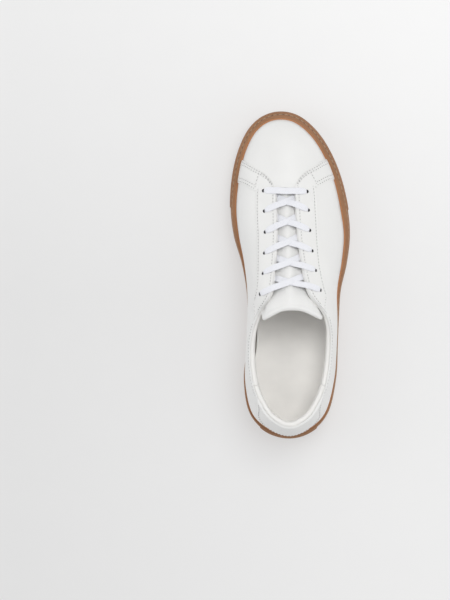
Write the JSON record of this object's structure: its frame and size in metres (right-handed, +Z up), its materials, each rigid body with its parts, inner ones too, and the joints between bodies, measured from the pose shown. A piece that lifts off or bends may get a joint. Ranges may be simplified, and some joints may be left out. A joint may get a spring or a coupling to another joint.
{
  "type": "court shoe",
  "caption": "Low-top white leather court shoe for the right foot: sewn gum-rubber cup sole, lined padded upper, separate tongue and footbed, flat crossed lace.",
  "frame": {"origin": "on the ground, under the middle of the sole's length and width", "axes": "+Y from heel to toe, +X to the outer side of the foot, +Z up"},
  "size_m": [0.1104, 0.3006, 0.1006],
  "materials": {
    "gum_rubber": "matte gum rubber, fine horizontal ribs on the bumpers",
    "sole_thread": "waxed tan thread",
    "midsole_foam": "closed-cell EVA foam",
    "filler": "pressed cork filler",
    "board": "pressed cellulose board",
    "footbed_foam": "open-cell foam",
    "footbed_leather": "smooth unfinished lining leather, warm light grey",
    "upper_leather": "full-grain white leather with a fine pebble and a soft sheen",
    "lining_leather": "soft lining leather",
    "stiffener": "thermoplastic-coated felt",
    "collar_foam": "open-cell foam",
    "lace_cotton": "flat woven waxed cotton, very slightly blue",
    "aglet": "clear-coated tip",
    "upper_thread": "white bonded thread"
  },
  "bodies": {
    "shoe": {"outsole": "gum_rubber", "sole_stitching": "sole_thread", "midsole_cushion": "midsole_foam", "bottom_filler": "filler", "lasting_board": "board", "vamp": "upper_leather", "quarter_medial": "upper_leather", "quarter_lateral": "upper_leather", "eyestay_medial": "upper_leather", "eyestay_lateral": "upper_leather", "heel_tab": "upper_leather", "vamp_lining": "lining_leather", "quarter_lining_medial": "lining_leather", "quarter_lining_lateral": "lining_leather", "heel_lining": "lining_leather", "toe_puff": "stiffener", "heel_counter": "stiffener", "collar_foam": "collar_foam", "eyestay_backing_medial": "stiffener", "eyestay_backing_lateral": "stiffener", "lace": "lace_cotton", "aglets": "aglet", "upper_stitching": "upper_thread"},
    "tongue": {"tongue_shell": "upper_leather", "tongue_foam": "collar_foam", "tongue_lining": "lining_leather"},
    "footbed": {"footbed_foam": "footbed_foam", "footbed_cover": "footbed_leather"}
  },
  "joints": [
    {"name": "tongue_fold", "type": "hinge", "parent": "shoe", "child": "tongue", "pos_m": [-0.005, 0.088, 0.053], "axis": [1, 0, 0], "range_deg": [0, 15]},
    {"name": "footbed_lift", "type": "hinge", "parent": "shoe", "child": "footbed", "pos_m": [-0.008, 0.136, 0.0259], "axis": [-1, 0, 0], "range_deg": [0, 4]}
  ]
}
